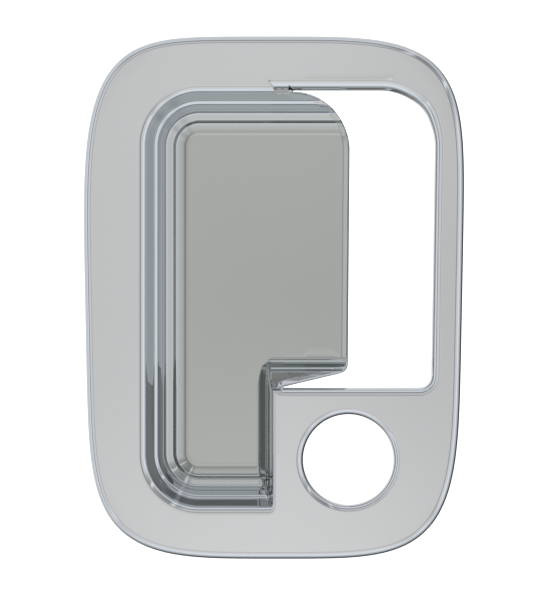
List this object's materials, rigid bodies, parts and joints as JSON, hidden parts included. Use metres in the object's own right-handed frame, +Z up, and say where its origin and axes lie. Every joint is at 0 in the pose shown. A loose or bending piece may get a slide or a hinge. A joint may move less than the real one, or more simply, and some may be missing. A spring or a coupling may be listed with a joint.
{
  "type": "exterior door handle trim cover",
  "caption": "Chrome-plated door handle surround with a stepped finger cup, an open lever window, a round lock hole and foam tape with peel-off liners.",
  "frame": {"origin": "middle of the flange's outline, on the plane where the skirt meets the door skin", "axes": "+Z up as installed, +X to the right seen from outside the door, +Y into the door"},
  "size_m": [0.1456, 0.0233, 0.2],
  "materials": {
    "chrome_plate": "bright mirror chrome on moulded plastic",
    "foam_tape": "matt grey closed-cell acrylic foam",
    "release_film": "smooth red release film"
  },
  "bodies": {
    "cover": {"chrome_shell": "chrome_plate", "tape_left_upper": "foam_tape", "tape_left_lower": "foam_tape", "tape_top": "foam_tape", "tape_right": "foam_tape", "tape_bottom": "foam_tape", "tape_lock": "foam_tape", "tape_cup_upper": "foam_tape", "tape_cup_lower": "foam_tape"},
    "film_left_upper": {"liner_left_upper": "release_film"},
    "film_left_lower": {"liner_left_lower": "release_film"},
    "film_top": {"liner_top": "release_film"},
    "film_right": {"liner_right": "release_film"},
    "film_bottom": {"liner_bottom": "release_film"},
    "film_lock": {"liner_lock": "release_film"},
    "film_cup_upper": {"liner_cup_upper": "release_film"},
    "film_cup_lower": {"liner_cup_lower": "release_film"}
  },
  "joints": [
    {"name": "peel_left_upper", "type": "slide", "parent": "cover", "child": "film_left_upper", "axis": [0, 1, 0], "range_m": [0, 0.03]},
    {"name": "peel_left_lower", "type": "slide", "parent": "cover", "child": "film_left_lower", "axis": [0, 1, 0], "range_m": [0, 0.03]},
    {"name": "peel_top", "type": "slide", "parent": "cover", "child": "film_top", "axis": [0, 1, 0], "range_m": [0, 0.03]},
    {"name": "peel_right", "type": "slide", "parent": "cover", "child": "film_right", "axis": [0, 1, 0], "range_m": [0, 0.03]},
    {"name": "peel_bottom", "type": "slide", "parent": "cover", "child": "film_bottom", "axis": [0, 1, 0], "range_m": [0, 0.03]},
    {"name": "peel_lock", "type": "slide", "parent": "cover", "child": "film_lock", "axis": [0, 1, 0], "range_m": [0, 0.03]},
    {"name": "peel_cup_upper", "type": "slide", "parent": "cover", "child": "film_cup_upper", "axis": [0, 1, 0], "range_m": [0, 0.03]},
    {"name": "peel_cup_lower", "type": "slide", "parent": "cover", "child": "film_cup_lower", "axis": [0, 1, 0], "range_m": [0, 0.03]}
  ]
}
